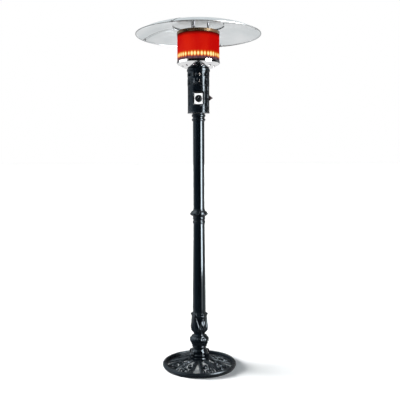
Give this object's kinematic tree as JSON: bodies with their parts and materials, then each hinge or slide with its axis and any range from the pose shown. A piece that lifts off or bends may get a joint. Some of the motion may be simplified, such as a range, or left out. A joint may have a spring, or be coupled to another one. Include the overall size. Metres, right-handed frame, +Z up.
{
  "type": "outdoor heater",
  "caption": "Tall free-standing gas patio heater: pierced cast base, turned post, vented control housing, glowing emitter drum and wide domed reflector.",
  "frame": {"origin": "on the floor, at the centre of the round base", "axes": "+Z up along the post, -Y towards the control knob, +X towards the igniter button"},
  "size_m": [0.833, 0.833, 2.3329],
  "materials": {
    "cast_black": "gloss",
    "pole_black": "gloss",
    "pad_rubber": "matte",
    "pipe_steel": "satin",
    "zinc_steel": "satin",
    "dark_fasteners": "satin",
    "recess_black": "satin",
    "plate_white": "satin",
    "knob_black": "matte",
    "button_maroon": "gloss",
    "bezel_black": "gloss",
    "valve_alloy": "cast",
    "brass": "satin",
    "igniter_plastic": "matte",
    "wire_jacket": "matte",
    "copper_line": "satin",
    "electrode_ceramic": "glazed",
    "burner_steel": "satin",
    "mirror_steel": "mirror polish",
    "drum_fasteners": "satin",
    "glowing_screen": "heated red",
    "bronze_band": "heat-tinted satin",
    "reflector_aluminium": "satin"
  },
  "bodies": {
    "heater": {"base_casting": "cast_black", "foot_casting": "cast_black", "vase_casting": "cast_black", "mid_collar": "cast_black", "upper_collar": "cast_black", "control_housing": "cast_black", "housing_top_cap": "cast_black", "lower_pole": "pole_black", "upper_pole": "pole_black", "glide_pads": "pad_rubber", "gas_riser_pipe": "pipe_steel", "pole_sleeve": "pipe_steel", "gas_inlet_coupling": "pipe_steel", "clamp_washers": "zinc_steel", "clamp_nuts": "zinc_steel", "housing_base_plate": "zinc_steel", "valve_bracket": "zinc_steel", "pilot_bracket": "zinc_steel", "burner_legs": "zinc_steel", "dish_bolts": "zinc_steel", "valve_spring": "zinc_steel", "collar_set_screws": "zinc_steel", "housing_screws": "dark_fasteners", "tray_screws": "dark_fasteners", "seam_screws": "dark_fasteners", "seam_nuts": "dark_fasteners", "control_recess": "recess_black", "control_plate": "plate_white", "igniter_bezel": "bezel_black", "gas_valve_body": "valve_alloy", "orifice_fitting": "brass", "pilot_burner": "brass", "igniter_body": "igniter_plastic", "tilt_switch": "igniter_plastic", "igniter_wire": "wire_jacket", "pilot_tube": "copper_line", "thermocouple": "copper_line", "igniter_electrode": "electrode_ceramic", "venturi_tube": "burner_steel", "burner_pan": "burner_steel", "burner_dish": "mirror_steel", "lower_band": "mirror_steel", "drum_screws": "drum_fasteners", "reflector_spacers": "drum_fasteners", "reflector_bolts": "drum_fasteners", "reflector_nuts": "drum_fasteners", "emitter_screen": "glowing_screen", "emitter_top_plate": "bronze_band", "reflector_disc": "reflector_aluminium", "reflector_petal_1": "reflector_aluminium", "reflector_petal_2": "reflector_aluminium", "reflector_petal_3": "reflector_aluminium", "reflector_petal_4": "reflector_aluminium"},
    "valve_push": {"valve_plunger": "brass"},
    "control_knob": {"control_knob": "knob_black", "valve_stem": "brass"},
    "igniter_button": {"igniter_button": "button_maroon"},
    "air_shutter": {"air_shutter": "zinc_steel"}
  },
  "joints": [
    {"name": "knob_push", "type": "slide", "parent": "heater", "child": "valve_push", "axis": [0, 1, 0], "range_m": [0, 0.005], "stiffness_N_per_m": 600, "springref_m": -0.005, "deforming": ["valve_spring"]},
    {"name": "knob_turn", "type": "hinge", "parent": "valve_push", "child": "control_knob", "pos_m": [0, -0.07, 1.82], "axis": [0, -1, 0], "range_deg": [0, 180]},
    {"name": "igniter_push", "type": "slide", "parent": "heater", "child": "igniter_button", "axis": [-1, 0, 0], "range_m": [0, 0.006], "stiffness_N_per_m": 800, "springref_m": -0.005},
    {"name": "air_shutter_turn", "type": "hinge", "parent": "heater", "child": "air_shutter", "pos_m": [0, 0, 1.896], "axis": [0, 0, 1], "range_deg": [0, 50]}
  ]
}
